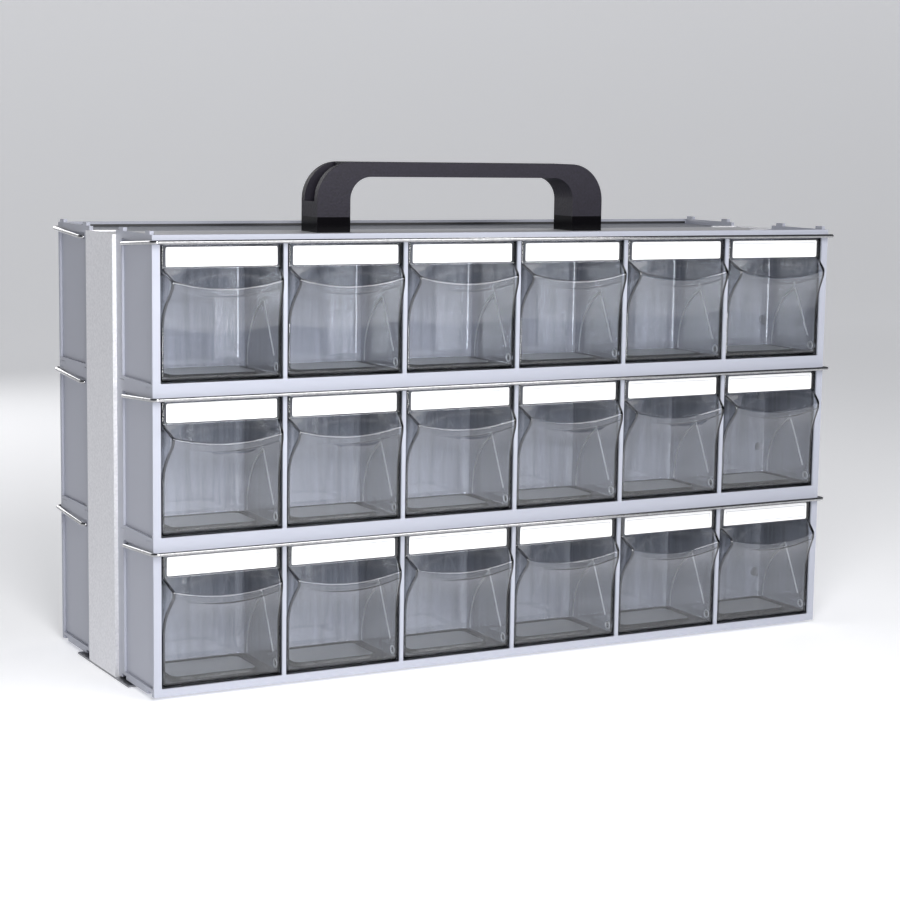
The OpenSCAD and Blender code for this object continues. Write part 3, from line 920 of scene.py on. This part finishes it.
for side in SIDES:
    for row in ROWS:
        body = f"bail_{side}_{row}"
        joint = JOINTS[body + "_lift"]
        piece = new_piece(body + "_wire", bail_wire(body + "_wire"))
        piece.matrix_world = Matrix.Translation(Vector(joint["pos_m"])) @ half_turn(side == "rear")
        stand_in(piece, body)
bail_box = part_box("bail_front_upper")
print("CAD bail's box in mm:", [[round(v / MM, 1) for v in corner] for corner in bail_box])

# %% [markdown]
# ## The handle
# The handle is the CAD shape with generous roundings. Its lowest 12 mm are polished, with
# a sharp border to the texture above, so the mesh is cut there and the faces below the
# cut get the polished nylon.

# %% Handle
POLISHED_BAND = 12


def cut_level(piece, height):
    """Cuts a mesh along a level plane."""
    mesh = bmesh.new()
    mesh.from_mesh(piece.data)
    everything = mesh.verts[:] + mesh.edges[:] + mesh.faces[:]
    bmesh.ops.bisect_plane(mesh, geom=everything, dist=0.0001 * MM,
                           plane_co=(0, 0, height), plane_no=(0, 0, 1))
    mesh.to_mesh(piece.data)
    mesh.free()


handle = soften("handle", NYLON, 1.2, steps=3)
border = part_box("handle")[0].z + POLISHED_BAND * MM
cut_level(handle, border)
handle.data.materials.append(POLISHED)
for polygon in handle.data.polygons:
    if polygon.center.z < border:
        polygon.material_index = 1
shade(handle)
stand_in(handle, "handle")
print("handle faces:", len(handle.data.polygons))

# %% [markdown]
# ## The studio
# The rack stands on a pale sweep, a floor that curves up into a wall, so no horizon
# shows. The main lamp is a wide soft box in front of the rack and above it, right of its
# middle. A narrow upright one gives the left bins their bright streaks, a small one high
# over the rack draws the line along the lips, and two weak ones behind it light the rear
# housings and the left end.

# %% Studio
SWEEP_NEAR, SWEEP_DEPTH = -6, 3.5  # the floor begins and the wall stands here, in metres
SWEEP_HALF_WIDTH = 8
SWEEP_RADIUS = 1.2
SWEEP_HEIGHT = 1.3
SWEEP_STEPS = 16


def sweep_mesh():
    """The floor, the curve and the wall of the backdrop, as one strip."""
    profile = [(SWEEP_NEAR, 0), (SWEEP_DEPTH - SWEEP_RADIUS, 0)]
    for k in range(1, SWEEP_STEPS + 1):
        a = math.pi / 2 * k / SWEEP_STEPS
        y, z = SWEEP_DEPTH - SWEEP_RADIUS * (1 - math.sin(a)), SWEEP_RADIUS * (1 - math.cos(a))
        profile.append((y, z))
    profile.append((SWEEP_DEPTH, SWEEP_HEIGHT))
    mesh = bmesh.new()
    sides = (-SWEEP_HALF_WIDTH, SWEEP_HALF_WIDTH)
    rows = [[mesh.verts.new((x, y, z)) for x in sides] for y, z in profile]
    for (a, b), (d, c) in zip(rows, rows[1:]):
        mesh.faces.new((a, b, c, d)).smooth = True
    data = bpy.data.meshes.new("sweep")
    mesh.to_mesh(data)
    mesh.free()
    return data


def paper_sweep():
    """Matt seamless paper, with its faint fibre."""
    material, shader = start("paper_sweep", {"Roughness": 0.8, "Emission Strength": 0.4})
    shader.inputs["Emission Color"].default_value = linear("#F4F5F8")
    fibre = grain(material, 8)
    feed(material, blend_colours(material, fibre, "#ECECEE", "#F1F1F2"), shader.inputs["Base Color"])
    return material


sweep = new_piece("sweep", sweep_mesh())
sweep.data.materials.append(paper_sweep())


def soft_box(name, place, target, width, height, watts):
    """A rectangular area lamp at a place, aimed at a target. Lengths are in metres."""
    data = bpy.data.lights.new(name, "AREA")
    data.shape = "RECTANGLE"
    data.size, data.size_y, data.energy = width, height, watts
    lamp = bpy.data.objects.new(name, data)
    lamp.location = place
    lamp.rotation_euler = (Vector(target) - Vector(place)).to_track_quat("-Z", "Y").to_euler()
    bpy.context.scene.collection.objects.link(lamp)


soft_box("key_box", (0.45, -1.4, 0.85), (0, -0.1, 0.2), 1.0, 0.8, 12)
soft_box("strip_box", (-0.45, -0.9, 0.5), (-0.2, -0.05, 0.2), 0.25, 0.9, 9)
soft_box("lip_box", (0.7, 0.5, 1.5), (0, -0.1, 0.2), 0.3, 0.3, 1.5)
soft_box("rear_box", (-0.25, 1.6, 0.8), (0, 0.1, 0.2), 0.8, 0.8, 6)
soft_box("end_box", (-1.4, 1.3, 0.5), (-0.3, 0, 0.2), 0.8, 0.8, 0.7)

world = bpy.data.worlds.new("studio")
world.use_nodes = True
world.node_tree.nodes["Background"].inputs["Color"].default_value = linear("#DADCE4")
world.node_tree.nodes["Background"].inputs["Strength"].default_value = 0.14
bpy.context.scene.world = world
bpy.context.scene.view_settings.view_transform = "Standard"

# %% [markdown]
# ## The finished box
# The dressed rack keeps inside the CAD model's box.

# %% Finish
bpy.context.view_layer.update()
